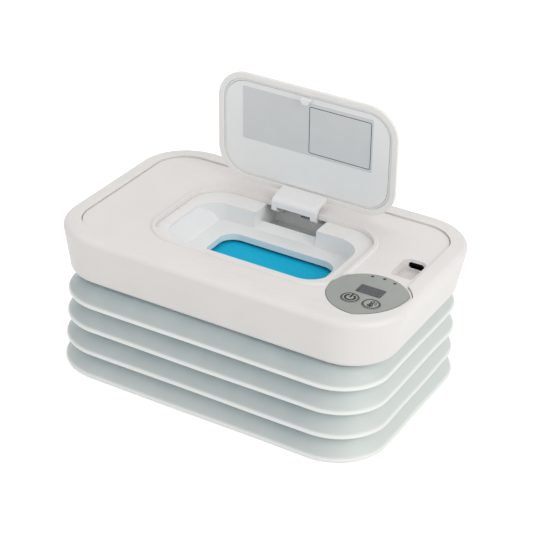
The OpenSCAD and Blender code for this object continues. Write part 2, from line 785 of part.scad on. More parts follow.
module at_leds() {
    for (a = led_angles)
        translate([disc_x + led_arc_r * cos(a), disc_y + led_arc_r * sin(a), 0]) children();
}

module indicator_leds() {
    color("#3c3f3d") at_leds() {
        translate([0, 0, z_board]) cylinder(h = z_disc + disc_t - z_board, r = led_r);
        translate([-1.2, -1, z_board]) cube([2.4, 2, 1]);
    }
}

module key_switches() {
    color("#333333") for (s = [-1, 1])
        translate([disc_x + s * key_pitch / 2, disc_y + key_y, z_board]) difference() {
            translate([-switch_w / 2, -switch_w / 2, 0]) cube([switch_w, switch_w, switch_h]);
            translate([0, 0, switch_h - 2]) cylinder(h = 3, r = stem_r + 0.2);
        }
}

module key(side) {
    z_flange = z_disc - 0.1 - key_flange;
    z_stem = z_board + switch_h - 2 + key_travel + 0.2;
    translate([disc_x + side * key_pitch / 2, disc_y + key_y, 0]) {
        translate([0, 0, z_stem]) cylinder(h = z_flange - z_stem + eps, r = stem_r);
        translate([0, 0, z_flange]) cylinder(h = key_flange, r = key_r + 0.8);
        translate([0, 0, z_flange + key_flange - eps])
            cylinder(h = z_disc + disc_t + 0.3 - z_flange - key_flange, r = key_r);
    }
}

module power_key() {
    color("#9a9d99") key(-1);
}

module heat_key() {
    color("#9a9d99") key(1);
}

// ---- Charging socket ----------------------------------------------------------

module usb_board() {
    color("#2f6b45") difference() {
        translate([scoop_x - scoop_w / 2 - 1.2, usb_board_y, z_usb_board])
            cube([scoop_w + 2.4, usb_board_l, board_t]);
        for (p = usb_posts) translate([scoop_x + p[0], scoop_back + p[1], z_usb_board - 1])
            cylinder(h = board_t + 2, r = board_screw_r + 0.1);
    }
}

module usb_socket() {
    shell_t = 0.3;
    color("#22242a") translate([scoop_x, scoop_back + 0.1, z_usb]) rotate([-90, 0, 0]) {
        difference() {
            linear_extrude(usb_l) round_rect(usb_w, usb_h, usb_h / 2 - eps);
            translate([0, 0, -1]) linear_extrude(usb_l - 0.5)
                round_rect(usb_w - 2 * shell_t, usb_h - 2 * shell_t, usb_h / 2 - shell_t - eps);
        }
        translate([-3.35, -0.35, 0.9]) cube([6.7, 0.7, usb_l - 1.4]);
    }
}

heater_route = [[disc_x - 14, disc_y + 10, z_board - board_t - 0.6],
    [disc_x - 17, disc_y + 13, z_board - board_t - 2.5], [disc_x - 18.5, lead_y - 8, z_pad + 3],
    [well_x + plate_l / 2 + 4.6, lead_y - 2, z_pad + 1.3],
    [well_x + plate_l / 2 + 1, lead_y, z_pad + 1.1], [well_x1 + 0.3, lead_y, z_pad + 0.8]];
usb_route = [[scoop_x - 2, scoop_back + 6, z_usb_board - 0.6],
    [scoop_x - 8, scoop_back + 4, z_usb_board - 1.6],
    [scoop_x - 10.5, scoop_back - 6, z_usb_board - 3],
    [scoop_x - 10.5, scoop_back - 20, z_usb_board - 3.6],
    [disc_x - 6, disc_y + 14, z_board - board_t - 1.8],
    [disc_x - 6.6, disc_y + 10, z_board - board_t - 0.6]];

module lead_pair(route, apart) {
    for (s = [-0.5, 0.5]) tube([for (p = smooth(route, 3)) p + s * apart], lead_r, 8, [0, 0, 1]);
}

module heater_leads() {
    color("#b33a30") lead_pair(heater_route, [1.35, 1.35, 0]);
}

module usb_leads() {
    color("#303030") lead_pair(usb_route, [1.5, -1.5, 0]);
}

// ---- Fasteners ----------------------------------------------------------------

module case_screws() {
    color("#9da1a6") at_case_screws() translate([0, 0, z_cover + screw_sink]) difference() {
        union() {
            cylinder(h = screw_head_t, r = screw_head_r);
            cylinder(h = screw_l, r = screw_r);
        }
        for (a = [0, 90]) rotate(a) translate([-screw_head_r / 2, -0.25, -1])
            cube([screw_head_r, 0.5, 1.5]);
    }
}

module board_screw(x, y, z) {
    translate([x, y, z - board_screw_head_t])
        cylinder(h = board_screw_head_t, r = board_screw_head_r);
    translate([x, y, z - eps]) cylinder(h = board_screw_l, r = board_screw_r);
}

module board_screws() {
    color("#9da1a6") {
        for (p = board_posts) board_screw(disc_x + p[0], disc_y + p[1], z_board - board_t);
        for (p = usb_posts) board_screw(scoop_x + p[0], scoop_back + p[1], z_usb_board);
    }
}

// ---- Lid and hinge ------------------------------------------------------------

// Draws its children, made as they lie shut, with the lid swung open
module swung_open() {
    translate([0, pin_y, pin_z]) rotate([-lid_swing, 0, 0]) translate([0, -pin_y, -pin_z]) children();
}

module lid_plan(shrink) {
    translate([lid_x, -lid_y]) round_rect(lid_l - 2 * shrink, lid_w - 2 * shrink, lid_r - shrink);
}

module lid_shell() {
    crown = 1;
    deep = lid_t - lid_skin;
    color("#ebe8e4") swung_open() difference() {
        union() {
            translate([0, 0, z_lid]) linear_extrude(lid_t - crown + eps) lid_plan(0);
            translate([lid_x, -lid_y, 0]) sweep_round(lid_l / 2 - lid_r, lid_w / 2 - lid_r)
                polygon(concat([[0, z_lid + lid_t - crown]],
                    arc([lid_r - crown, z_lid + lid_t - crown], crown, 0, 90, 5),
                    [[0, z_lid + lid_t]]));
            translate([0, 0, z_lid + lid_t - crown]) linear_extrude(crown) lid_plan(lid_r);
        }
        translate([0, 0, z_lid - 1]) linear_extrude(deep + 1) lid_plan(lid_rim);
    }
}

module lid_liner() {
    color("#e4e6ea") swung_open() {
        translate([0, 0, z_lid + liner_lift]) linear_extrude(lid_t - lid_skin - liner_lift)
            lid_plan(lid_rim + seal_w + 0.1);
        translate([arm_x, well_y0 + latch_gap, z_lid + liner_lift + 0.2 - latch_h])
            linear_extrude(latch_h)
            polygon([[-latch_l / 2, 0], [latch_l / 2, 0], [latch_l / 4, latch_w],
                [-latch_l / 4, latch_w]]);
    }
}

module lid_seal() {
    color("#c3c8cc") swung_open() translate([0, 0, z_lid + seal_lift])
        linear_extrude(lid_t - lid_skin - seal_lift) difference() {
            lid_plan(lid_rim + 0.05);
            lid_plan(lid_rim + seal_w);
        }
}

// Where the open lid's underside stands behind the pin, at its rear edge
lid_face = (z_lid - pin_z) * sin(lid_swing) - pin_behind * cos(lid_swing);
arm_end = lid_face + 0.5;

// The arm's outline about the pin, with the lid open: it reaches forwards from the pin
// under the panel's edge, up through the pocket and back over the bead to the lid
module arm_profile() {
    polygon(concat(
        [[0, -knuckle_r], [arm_front + 2.2, arm_chin - 1.8], [arm_front, arm_chin]],
        arc([arm_front + arm_bend, arm_top - arm_bend], arm_bend, 180, 95, 6),
        [[arm_end, arm_top + 2.2]],
        arc([0, 0], arm_inner, acos(arm_end / arm_inner), acos(arm_back / arm_inner), 8),
        [[arm_back, pin_depth - 3.5], [-2, 1.8]]));
}

module arm_plate_profile() {
    intersection() {
        difference() {
            arm_profile();
            translate([arm_front + arm_t, -20]) square([20, 20 + arm_top - 4.6]);
        }
        translate([arm_front - 1, arm_plate_low]) square([40, 30]);
    }
}

module hinge_arm() {
    color("#dfe4ea") difference() {
        translate([arm_x, pin_y, pin_z]) rotate([90, 0, 90]) difference() {
            union() {
                for (s = [-1, 1]) translate([0, 0, s * (arm_w - cheek_w) / 2 - cheek_w / 2])
                    linear_extrude(cheek_w) {
                        arm_profile();
                        circle(knuckle_r);
                    }
                translate([0, 0, -arm_w / 2]) linear_extrude(arm_w) arm_plate_profile();
            }
            cylinder(h = arm_w + 2, r = pin_r + pin_play, center = true);
        }
        swung_open() translate([0, 0, z_lid]) linear_extrude(lid_t) lid_plan(0);
    }
}

module hinge_pin() {
    color("#b4b8bc") translate([pocket_x, pin_y, pin_z]) rotate([0, 90, 0])
        cylinder(h = pocket_out - 0.6, r = pin_r, center = true);
}

// The spring's coils lie round the pin between the arm's cheeks. One leg stands against
// the pit's back wall and the other reaches forwards under the arm
module torsion_spring() {
    coil_r = pin_r + spring_wire / 2 + 0.5;
    coil_pitch = spring_wire + 0.5;
    coil = [for (i = [0:spring_turns * 8]) let (a = 90 + 45 * i)
        [coil_pitch * i / 8, coil_r * cos(a), coil_r * sin(a)]];
    back_leg = [0, pit_back - spring_wire, coil_r];
    front_leg = [coil_pitch * spring_turns, -4, coil_r];
    color("#c9cdd0") translate([arm_x + 0.5, pin_y, pin_z])
        tube(concat([back_leg], coil, [front_leg]), spring_wire / 2, 6, [1, 0, 0]);
}

bag_floor();
bellows();
wipe_pack();
bag_rim();
outer_shell();
top_panel();
well_frame();
bottom_cover();
heating_plate();
heating_film();
insulating_pad();
temperature_sensor();
thermal_fuse();
control_board();
display_module();
display_window();
control_disc();
indicator_leds();
key_switches();
power_key();
heat_key();
usb_board();
usb_socket();
heater_leads();
usb_leads();
case_screws();
board_screws();
hinge_pin();
torsion_spring();
lid_shell();
lid_liner();
lid_seal();
hinge_arm();
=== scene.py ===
"""The looks of a baby wipe warmer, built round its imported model.

The CAD nodes keep their shapes and get softened edges and materials. The bellows bag and the
pack of wipes are remade as finer meshes, and the label sheet, the key signs and the display's
segments are added. Lengths are in metres, in the model's own frame.
"""

import json
import math

import bmesh
import bpy
from mathutils import Matrix, Vector, noise


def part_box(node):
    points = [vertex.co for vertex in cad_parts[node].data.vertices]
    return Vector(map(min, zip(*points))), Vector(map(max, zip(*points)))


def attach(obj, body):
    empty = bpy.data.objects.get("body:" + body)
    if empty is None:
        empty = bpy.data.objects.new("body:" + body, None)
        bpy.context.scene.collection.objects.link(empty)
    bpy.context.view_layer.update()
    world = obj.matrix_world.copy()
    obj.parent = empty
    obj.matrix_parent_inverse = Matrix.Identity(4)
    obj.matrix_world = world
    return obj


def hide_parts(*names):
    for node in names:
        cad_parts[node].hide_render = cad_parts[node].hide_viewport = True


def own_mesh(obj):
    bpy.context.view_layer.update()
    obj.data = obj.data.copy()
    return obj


MM = 0.001

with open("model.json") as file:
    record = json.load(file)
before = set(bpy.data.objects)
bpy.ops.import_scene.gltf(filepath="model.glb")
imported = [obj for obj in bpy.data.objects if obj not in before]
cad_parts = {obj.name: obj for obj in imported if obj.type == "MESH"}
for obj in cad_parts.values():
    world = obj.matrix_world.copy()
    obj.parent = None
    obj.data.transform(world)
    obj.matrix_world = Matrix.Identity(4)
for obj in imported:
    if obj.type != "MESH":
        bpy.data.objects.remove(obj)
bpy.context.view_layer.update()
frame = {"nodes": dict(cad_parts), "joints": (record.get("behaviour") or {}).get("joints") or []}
nodes = frame["nodes"]


def joint(name):
    """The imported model's joint of that name."""
    return next(j for j in frame["joints"] if j["name"] == name)


# ---- Camera -------------------------------------------------------------------

# The camera was fitted to the head's outlines in the photograph. It is given about the
# middle of the head's top face
PHOTO_SIZE = 533
AZIMUTH = math.radians(27.899)
ELEVATION = math.radians(29.409)
ROLL = math.radians(3.069)
DISTANCE = 898.08 * MM
SIDE_STEP = 1.551 * MM
UP_STEP = -20.606 * MM
FOCAL_PX = 1683.889
SENSOR = 36.0


def make_camera():
    target = Vector((0, 0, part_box("outer_shell")[1].z))
    back = Vector((math.sin(AZIMUTH) * math.cos(ELEVATION),
                   -math.cos(AZIMUTH) * math.cos(ELEVATION), math.sin(ELEVATION)))
    right = Vector((math.cos(AZIMUTH), math.sin(AZIMUTH), 0))
    up = back.cross(right)
    place = target + back * DISTANCE + right * SIDE_STEP + up * UP_STEP
    side = right * math.cos(ROLL) + up * math.sin(ROLL)
    top = up * math.cos(ROLL) - right * math.sin(ROLL)
    turn = Matrix((side, top, back)).transposed()
    data = bpy.data.cameras.new("camera")
    data.sensor_width = SENSOR
    data.lens = FOCAL_PX / PHOTO_SIZE * SENSOR
    data.clip_start = 0.05
    data.clip_end = 20
    camera = bpy.data.objects.new("camera", data)
    camera.matrix_world = Matrix.Translation(place) @ turn.to_4x4()
    bpy.context.scene.collection.objects.link(camera)
    bpy.context.scene.camera = camera


# ---- Materials ----------------------------------------------------------------

# A wave texture of scale 1 repeats after this length
WAVE_PERIOD = 0.314
# The pointiness at which a spot begins to count as an edge for the painted highlight, and counts in
# full
EDGE_FROM, EDGE_TO = 0.51, 0.56
# Half the height over which a second colour takes over
SPLIT_BLUR = 0.15 * MM
# Scales of a metal's scratches, along them and across them
SCRATCH_LONG, SCRATCH_FINE = 260, 4200


def linear(rgb):
    """A colour as the display shows it, from 0 to 255, in linear light by the sRGB curve."""
    share = [c / 255 for c in rgb]
    return [c / 12.92 if c <= 0.04045 else ((c + 0.055) / 1.055) ** 2.4 for c in share]


class Finish:
    """A material whose colour, roughness and relief come from textures in object space."""

    def __init__(self, name):
        self.material = bpy.data.materials.new(name)
        self.material.use_nodes = True
        self.nodes = self.material.node_tree.nodes
        self.links = self.material.node_tree.links
        self.shader = self.nodes["Principled BSDF"]
        self.place = self.nodes.new("ShaderNodeTexCoord").outputs["Object"]

    def add(self, kind, inputs=None, **settings):
        node = self.nodes.new(kind)
        for key, value in settings.items():
            setattr(node, key, value)
        for key, value in (inputs or {}).items():
            self.feed(node.inputs[key], value)
        return node

    def feed(self, socket, value):
        if isinstance(value, bpy.types.NodeSocket):
            self.links.new(value, socket)
        elif hasattr(value, "__len__") and len(value) == 3 and len(socket.default_value) == 4:
            socket.default_value = (*value, 1)
        else:
            socket.default_value = value

    def scaled(self, scale, turn=(0, 0, 0)):
        """The object's own place, stretched by a scale for each axis."""
        node = self.add("ShaderNodeMapping", {"Vector": self.place, "Scale": scale, "Rotation": turn})
        return node.outputs["Vector"]

    def noise(self, size, detail=3, rough=0.5, place=None):
        """Noise whose lumps are about size metres across, from 0 to 1."""
        node = self.add("ShaderNodeTexNoise", {
            "Vector": place or self.place, "Scale": 1 / size if place is None else 1,
            "Detail": detail, "Roughness": rough})
        return node.outputs["Fac"]

    def cells(self, size):
        """The distance to the nearest of many points, which lie about size metres apart."""
        node = self.add("ShaderNodeTexVoronoi", {"Vector": self.place, "Scale": 1 / size})
        return node.outputs["Distance"]

    def wave(self, size, direction, bend, bend_size=1.0):
        """Bands that repeat every size metres along an axis."""
        node = self.add("ShaderNodeTexWave", {
            "Vector": self.place, "Scale": WAVE_PERIOD / size, "Distortion": bend, "Detail": 2,
            "Detail Scale": bend_size}, bands_direction=direction)
        return node.outputs["Fac"]

    def span(self, value, low, high, from_low=0.0, from_high=1.0):
        node = self.add("ShaderNodeMapRange", {
            "Value": value, "From Min": from_low, "From Max": from_high,
            "To Min": low, "To Max": high})
        return node.outputs["Result"]

    def math(self, operation, a, b=0.0):
        node = self.add("ShaderNodeMath", {0: a, 1: b}, operation=operation)
        return node.outputs["Value"]

    def mix(self, share, a, b):
        node = self.nodes.new("ShaderNodeMix")
        node.data_type = "RGBA"
        for socket, value in ((node.inputs[0], share), (node.inputs[6], a), (node.inputs[7], b)):
            self.feed(socket, value)
        return node.outputs[2]

    def edges(self):
        """How far a spot stands out as an edge, from 0 to 1."""
        pointed = self.nodes.new("ShaderNodeNewGeometry").outputs["Pointiness"]
        return self.span(pointed, 0, 1, EDGE_FROM, EDGE_TO)

    def relief(self, *layers):
        """Bumps laid over each other, each a height and its depth in metres."""
        normal = None
        for height, depth in layers:
            inputs = {"Height": height, "Strength": 1.0, "Distance": depth}
            if normal is not None:
                inputs["Normal"] = normal
            normal = self.add("ShaderNodeBump", inputs).outputs["Normal"]
        self.links.new(normal, self.shader.inputs["Normal"])

    def set(self, **values):
        for key, value in values.items():
            self.feed(self.shader.inputs[key.replace("_", " ")], value)


def moulded(name, colour, rough=0.42, grain=0.5 * MM, depth=0.012 * MM, tint=0.975,
            cloud=22 * MM, edge=1.02, above=None, **sockets):
    """Injection-moulded plastic: a fine spark-eroded grain, faint flow clouds in its colour,
    and a painted highlight that makes sharp edges paler. Above a height it can take a second colour."""
    f = Finish(name)
    base = linear(colour)
    clouds = f.span(f.noise(cloud, detail=4), 0, 1, 0.35, 0.65)
    specks = f.noise(grain * 1.7, detail=2)
    tone = f.mix(clouds, [c * tint for c in base], base)
    if above:
        height, upper = above
        split = f.add("ShaderNodeSeparateXYZ", {"Vector": f.place}).outputs["Z"]
        share = f.span(split, 0, 1, height - SPLIT_BLUR, height + SPLIT_BLUR)
        second = f.mix(clouds, [c * tint for c in linear(upper)], linear(upper))
        tone = f.mix(share, tone, second)
    tone = f.mix(f.span(specks, 0, 0.12, 0.4, 0.8), tone, [c * tint * 0.93 for c in base])
    # Sharp edges painted paler: a painted highlight
    tone = f.mix(f.math("MULTIPLY", f.edges(), 0.5), tone, [min(1, c * edge) for c in base])
    f.set(Base_Color=tone, Roughness=f.span(f.noise(cloud / 3), rough - 0.05, rough + 0.06))
    f.set(**sockets)
    f.relief((f.noise(grain, detail=2, rough=0.6), depth), (f.noise(9 * MM, detail=1), 0.02 * MM))
    return f.material


def white_shell():
    return moulded("white_shell", (226, 223, 220), rough=0.42, grain=0.45 * MM)


def white_panel():
    return moulded("white_panel", (226, 222, 219), rough=0.5, grain=0.6 * MM, depth=0.02 * MM)


def white_lid_painted_light():
    # Paler than the shell's white: painted light on the lid, which is more brightly lit
    return moulded("white_lid_painted_light", (235, 233, 230), rough=0.38, grain=0.45 * MM)


# Where the well's wall ends and its ledge begins
LEDGE_HEIGHT = 79.6 * MM


def well_plastic_painted_shade():
    """The well's white plastic, painted a cooler grey below the ledge as painted shade in the well,
    with the ledge round its rim in the panel's white.
    """
    # Below the ledge the grey is cooler: painted shade in the well
    return moulded("well_plastic_painted_shade", (228, 229, 229), rough=0.34, grain=0.8 * MM,
                   depth=0.006 * MM, above=(LEDGE_HEIGHT, (230, 226, 223)))


def lid_lining():
    return moulded("lid_lining", (233, 234, 233), rough=0.36, grain=0.8 * MM, depth=0.006 * MM)


def arm_plastic():
    return moulded("arm_plastic", (231, 230, 230), rough=0.3, grain=0.9 * MM, depth=0.006 * MM)


def cover_plastic():
    return moulded("cover_plastic", (209, 211, 213), rough=0.5, grain=0.6 * MM, depth=0.02 * MM)


def disc_plastic():
    return moulded("disc_plastic", (153, 156, 151), rough=0.36, grain=0.35 * MM, depth=0.01 * MM,
                   tint=0.95, cloud=9 * MM, Coat_Weight=0.15, Coat_Roughness=0.3)


def key_plastic():
    return moulded("key_plastic", (155, 158, 153), rough=0.42, grain=0.3 * MM, depth=0.012 * MM,
                   tint=0.95, cloud=5 * MM)


def dark_plastic(name, colour, rough):
    # Its edges take a stronger painted highlight
    return moulded(name, colour, rough=rough, grain=0.4 * MM, tint=0.85, cloud=4 * MM, edge=1.4)


def ink(name, colour):
    """Printed ink, with the faint mottle of a thin layer."""
    f = Finish(name)
    base = linear(colour)
    mottle = f.noise(0.5 * MM, detail=3)
    f.set(Base_Color=f.mix(mottle, base, [c * 1.35 + 0.01 for c in base]),
          Roughness=f.span(mottle, 0.45, 0.6))
    f.relief((mottle, 0.004 * MM))
    return f.material


def smoked_lens():
    """A display window: dark, glossy and faintly clouded below its surface."""
    f = Finish("smoked_lens")
    deep = f.noise(3 * MM, detail=2)
    f.set(Base_Color=f.mix(deep, linear((52, 52, 60)), linear((66, 65, 73))),
          Roughness=f.span(f.noise(1.5 * MM), 0.12, 0.2))
    f.set(Coat_Weight=0.6, Coat_Roughness=0.06)
    f.relief((f.noise(6 * MM, detail=1), 0.01 * MM))
    return f.material


def silicone(name, low, high, rough, reach=1.2 * MM):
    """Frosted silicone rubber: milky, with soft clouds, dust-fine grain and flow marks."""
    f = Finish(name)
    clouds = f.noise(16 * MM, detail=5, rough=0.55)
    tone = f.mix(f.span(clouds, 0, 1, 0.3, 0.7), linear(low), linear(high))
    return rubber(f, tone, rough, reach)


def rubber(f, tone, rough, reach):
    """Gives a finish the sheen and relief of silicone. Light goes reach metres deep in it."""
    f.set(Base_Color=tone, Roughness=f.span(f.noise(2 * MM), rough - 0.06, rough + 0.07))
    f.set(Subsurface_Weight=0.15, Subsurface_Scale=reach, Subsurface_Radius=(1.0, 1.0, 1.0),
          Sheen_Weight=0.1, Sheen_Roughness=0.4)
    f.relief((f.noise(0.5 * MM, detail=2), 0.02 * MM), (f.noise(5 * MM, detail=3), 0.1 * MM))
    return f.material


# The attribute that says how far out on its fold a vertex lies, which sets the bellows' painted shade
# and painted highlight
FOLD_PAINTED_LIGHT = "outwards"
# The heights between which the lowest fold grows paler, as painted light out of the head's shade
FIRST_FOLD, LAST_FOLD = 14 * MM, 5 * MM
# The places along the bag between which the painted light at its right end takes over
LIT_FROM, LIT_TO = 58 * MM, 92 * MM


def bellows_rubber():
    """The bellows' silicone, with painted light and shade: bluish and painted dark deep in the
    notches, a painted highlight where each lip rolls over, painted paler on the lowest fold, out
    of the head's shade, and painted light at the right end. It reads how far out each spot of a fold
    lies."""
    f = Finish("bag_skin")
    out = f.add("ShaderNodeAttribute", attribute_name=FOLD_PAINTED_LIGHT).outputs["Fac"]
    place = f.add("ShaderNodeSeparateXYZ", {"Vector": f.place}).outputs
    low = f.span(place["Z"], 0, 1, FIRST_FOLD, LAST_FOLD)
    lit = f.span(place["X"], 0, 0.7, LIT_FROM, LIT_TO)
    clouds = f.noise(16 * MM, detail=5, rough=0.55)
    # Painted shade: darker and bluer deep in each notch, paler out towards the lip
    face = f.mix(f.span(out, 0, 1, 0.1, 0.8), linear((158, 173, 176)), linear((184, 191, 190)))
    face = f.mix(f.span(clouds, 0, 0.5, 0.3, 0.7), face, linear((190, 197, 198)))
    # The lowest fold painted paler: painted light, out of the head's shade
    face = f.mix(f.math("MULTIPLY", low, 0.2), face, linear((220, 223, 222)))
    # Painted light at the right end
    face = f.mix(lit, face, linear((216, 221, 216)))
    # A painted highlight along each lip
    tone = f.mix(f.span(out, 0, 1, 0.84, 0.97), face, linear((234, 236, 232)))
    return rubber(f, tone, 0.48, 1.2 * MM)


def wipe_film():
    """The wipes' blue: an embossed nonwoven whose fibres lie mostly along the pack, with
    the edges of its folds as fine lines round the sides."""
    f = Finish("wipe_film")
    fibres = f.noise(1, detail=4, rough=0.65, place=f.scaled((260, 1700, 1700)))
    crossing = f.noise(1, detail=3, rough=0.6, place=f.scaled((1500, 420, 1500), (0, 0, 0.5)))
    dimples = f.cells(1.9 * MM)
    layers = f.wave(1.3 * MM, direction="Z", bend=1.2, bend_size=2)
    tone = f.mix(fibres, linear((4, 160, 200)), linear((14, 184, 222)))
    tone = f.mix(f.span(crossing, 0, 0.35, 0.4, 0.8), tone, linear((26, 192, 228)))
    # Darker in the dimples' hollows: painted shade
    tone = f.mix(f.span(dimples, 0.25, 0, 0, 0.35), tone, linear((2, 142, 184)))
    f.set(Base_Color=tone, Roughness=f.span(fibres, 0.6, 0.8), Specular_IOR_Level=0.2)
    f.relief((layers, 0.1 * MM), (dimples, 0.12 * MM), (fibres, 0.06 * MM), (crossing, 0.04 * MM))
    return f.material


def label_paper():
    """A pale vinyl label: a faint orange peel and softly uneven sheen."""
    f = Finish("label_paper")
    clouds = f.noise(12 * MM, detail=3)
    f.set(Base_Color=f.mix(clouds, linear((205, 207, 208)), linear((211, 213, 213))),
          Roughness=f.span(f.noise(4 * MM), 0.38, 0.5))
    f.relief((f.noise(0.9 * MM, detail=2), 0.008 * MM))
    return f.material


def metal(name, colour, rough, along=(1, 1, 1)):
    """Drawn or brushed metal: fine scratches along one axis and dull patches."""
    f = Finish(name)
    base = linear(colour)
    scales = [SCRATCH_LONG if a else SCRATCH_FINE for a in along]
    scratches = f.noise(1, detail=4, rough=0.7, place=f.scaled(scales))
    patches = f.noise(4 * MM, detail=3)
    f.set(Base_Color=f.mix(patches, [c * 0.8 for c in base], base), Metallic=1.0,
          Roughness=f.span(scratches, rough - 0.08, rough + 0.12))
    f.relief((scratches, 0.006 * MM))
    return f.material


def circuit_board():
    """Green solder mask over copper tracks, with pale printed marks."""
    f = Finish("circuit_board")
    tracks = f.add("ShaderNodeTexBrick", {
        "Vector": f.place, "Scale": 150.0, "Mortar Size": 0.06, "Color1": (0, 0, 0),
        "Color2": (0, 0, 0), "Mortar": (1, 1, 1)}).outputs["Color"]
    pads = f.span(f.cells(3.1 * MM), 1, 0, 0.14, 0.18)
    tone = f.mix(f.noise(5 * MM), linear((30, 92, 58)), linear((40, 112, 70)))
    tone = f.mix(f.math("MULTIPLY", tracks, 0.6), tone, linear((66, 146, 88)))
    tone = f.mix(pads, tone, linear((196, 190, 160)))
    f.set(Base_Color=tone, Roughness=f.span(pads, 0.28, 0.4))
    f.relief((tracks, 0.03 * MM), (pads, 0.03 * MM))
    return f.material


def heater_foil():
    """Amber polyimide film with the heating track winding through it."""
    f = Finish("heater_foil")
    track = f.span(f.wave(4 * MM, direction="Y", bend=0.6), 0, 1, 0.55, 0.7)
    tone = f.mix(f.noise(7 * MM), linear((176, 96, 32)), linear((206, 128, 52)))
    tone = f.mix(track, tone, linear((150, 82, 40)))
    f.set(Base_Color=tone, Roughness=f.span(track, 0.18, 0.32), Coat_Weight=0.5)
    f.relief((track, 0.05 * MM))
    return f.material


def foam():
    """Closed-cell foam: packed round cells, their hollows darker as painted shade."""
    f = Finish("foam")
    bubbles = f.cells(0.8 * MM)
    # Darker in each cell's hollow: painted shade
    f.set(Base_Color=f.mix(bubbles, linear((66, 70, 73)), linear((112, 117, 121))),
          Roughness=f.span(bubbles, 0.8, 0.95))
    f.relief((bubbles, 0.25 * MM), (f.noise(5 * MM), 0.2 * MM))
    return f.material


def insulation(name, colour):
    """A lead's soft PVC skin: a dull gloss with faint drawing lines."""
    f = Finish(name)
    base = linear(colour)
    lines = f.noise(1, detail=3, place=f.scaled((300, 300, 2400)))
    f.set(Base_Color=f.mix(lines, [c * 0.85 for c in base], base),
          Roughness=f.span(lines, 0.36, 0.52))
    f.relief((lines, 0.01 * MM))
    return f.material


# ---- Rigid nodes --------------------------------------------------------------

# Facets that meet at less than the first angle are joined, and edges over the second rounded
FLAT_ANGLE = math.radians(0.6)
SHARP_ANGLE = math.radians(28)


def soften(node, width):
    """Softens the edges of a CAD node: its facets are joined and its sharp edges rounded."""
    o = nodes[node]
    weld = o.modifiers.new("weld", "WELD")
    weld.merge_threshold = 0.004 * MM
    join = o.modifiers.new("join", "DECIMATE")
    join.decimate_type = "DISSOLVE"
    join.angle_limit = FLAT_ANGLE
    bevel = o.modifiers.new("edge", "BEVEL")
    bevel.width = width
    bevel.segments = 2
    bevel.limit_method = "ANGLE"
    bevel.angle_limit = SHARP_ANGLE
    bevel.use_clamp_overlap = True
    bevel.harden_normals = True
    smooth = o.modifiers.new("smooth", "WEIGHTED_NORMAL")
    smooth.keep_sharp = True


def paint(node, material):
    slots = nodes[node].data.materials
    slots.clear()
    slots.append(material)


# ---- Meshes -------------------------------------------------------------------

def new_piece(name, verts, faces, material, smooth=True):
    mesh = bpy.data.meshes.new(name)
    mesh.from_pydata([tuple(v) for v in verts], [], faces)
    mesh.validate()
    mesh.materials.append(material)
    bm = bmesh.new()
    bm.from_mesh(mesh)
    bmesh.ops.recalc_face_normals(bm, faces=bm.faces)
    bm.to_mesh(mesh)
    bm.free()
    if smooth:
        mesh.polygons.foreach_set("use_smooth", [True] * len(mesh.polygons))
    o = bpy.data.objects.new(name, mesh)
    bpy.context.scene.collection.objects.link(o)
    return o


def stations(half_x, half_y, corner_steps, side_step):
    """Places round a rounded rectangle, from the centres of its corner arcs: each a point
    and the direction straight out of it."""
    found = []
    for q in range(4):
        corner = math.pi / 2 * q + math.pi / 4
        cx = math.copysign(half_x, math.cos(corner))
        cy = math.copysign(half_y, math.sin(corner))
        for i in range(corner_steps + 1):
            a = math.pi / 2 * (q + i / corner_steps)
            found.append((Vector((cx, cy)), Vector((math.cos(a), math.sin(a)))))
        ahead = Vector((math.cos(math.pi / 2 * (q + 1)), math.sin(math.pi / 2 * (q + 1))))
        along = Vector((-ahead.y, ahead.x))
        length = 2 * (half_x if abs(along.x) > 0.5 else half_y)
        steps = max(1, round(length / side_step))
        for i in range(1, steps):
            found.append((Vector((cx, cy)) + along * length * i / steps, ahead))
    return found


def swept(profile, places):
    """Carries a closed profile of (outward, height) points round a list of places."""
    verts = [(b.x + d.x * r, b.y + d.y * r, z) for b, d in places for r, z in profile]
    m, n = len(profile), len(places)
    faces = [(i * m + k, ((i + 1) % n) * m + k, ((i + 1) % n) * m + (k + 1) % m,
              i * m + (k + 1) % m) for i in range(n) for k in range(m)]
    return verts, faces


def circle_points(x, y, r, a0=0.0, a1=360.0, steps=48):
    """Points on a circle, from one angle to another in degrees."""
    return [(x + r * math.cos(math.radians(a0 + (a1 - a0) * i / steps)),
             y + r * math.sin(math.radians(a0 + (a1 - a0) * i / steps)))
            for i in range(steps + 1)]


def curve_through(points, steps):
    """A smooth curve through a list of points, with steps parts between each two."""
    out = []
    last = len(points) - 1
    for i in range(last):
        a, b, c, d = (Vector(points[min(max(k, 0), last)]) for k in (i - 1, i, i + 1, i + 2))
        for s in range(steps):
            t = s / steps
            out.append(tuple(0.5 * (2 * b + (c - a) * t + (2 * a - 5 * b + 4 * c - d) * t * t
                                    + (3 * b - a - 3 * c + d) * t ** 3)))
    out.append(tuple(points[-1]))
    return out


# ---- Bag ----------------------------------------------------------------------

# The bellows' own measures, as their solid has them. Distances out are counted from the
# centres of the bag's corners
FOLDS = 4
CORNER_X = 66.5 * MM
CORNER_Y = 37.5 * MM
LIP_FIRST = 29 * MM
LIP_FLARE = 0.7 * MM
NOTCH = 7.5 * MM
LIP_R = 1.1 * MM
LIP_RISE = 0.3 * MM
BAG_WALL = 1.6 * MM
FLOOR_OUT = 28 * MM
RIM_IN = 18 * MM
PITCH = 14 * MM
VALLEY_DROP = 2.4 * MM
WAVE = 0.35 * MM
LIFT = 0.02 * MM
# The highest valley stays this far under the bag's rim
RIM_GAP = 0.7 * MM
